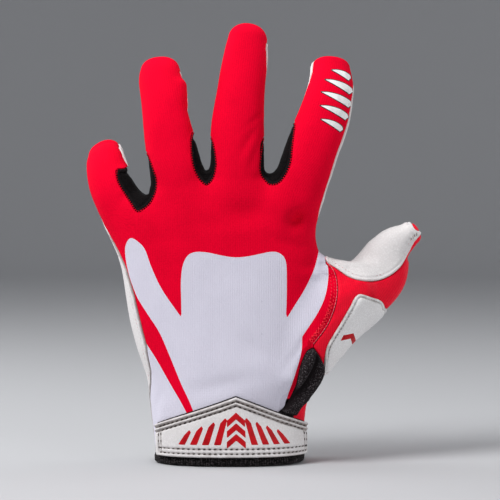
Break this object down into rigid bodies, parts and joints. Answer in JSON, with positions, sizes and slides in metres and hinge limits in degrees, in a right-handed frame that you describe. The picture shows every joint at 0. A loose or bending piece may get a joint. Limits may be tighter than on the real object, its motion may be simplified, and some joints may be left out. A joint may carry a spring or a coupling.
{
  "type": "left-hand motocross glove",
  "caption": "Full-finger riding glove for the left hand, hollow, with knit back, leather palm, mesh finger gussets, a folded wrist gusset and a pointed closure tab.",
  "frame": {"origin": "middle of the cuff's mouth, in the plane of its hem", "axes": "+Z from the cuff to the fingertips, +X to the thumb's side, and -Y out of the back of the hand"},
  "size_m": [0.1665, 0.0556, 0.22],
  "materials": {
    "red_knit": "smooth stretch knit printed red and white",
    "white_leather": "soft synthetic leather",
    "black_mesh": "stretch mesh",
    "black_loop": "brushed loop fabric",
    "black_binding": "folded elastic binding"
  },
  "bodies": {
    "root": {"back_panel": "red_knit", "palm_panel": "white_leather", "thumb_back_panel": "red_knit", "thumb_palm_panel": "white_leather", "finger_gusset_little_ring": "black_mesh", "finger_gusset_ring_middle": "black_mesh", "finger_gusset_middle_index": "black_mesh", "wrist_gusset": "black_loop", "tab_backing": "black_loop", "closure_tab": "white_leather", "thumb_patch": "white_leather", "cuff_hem": "black_binding"}
  },
  "joints": []
}
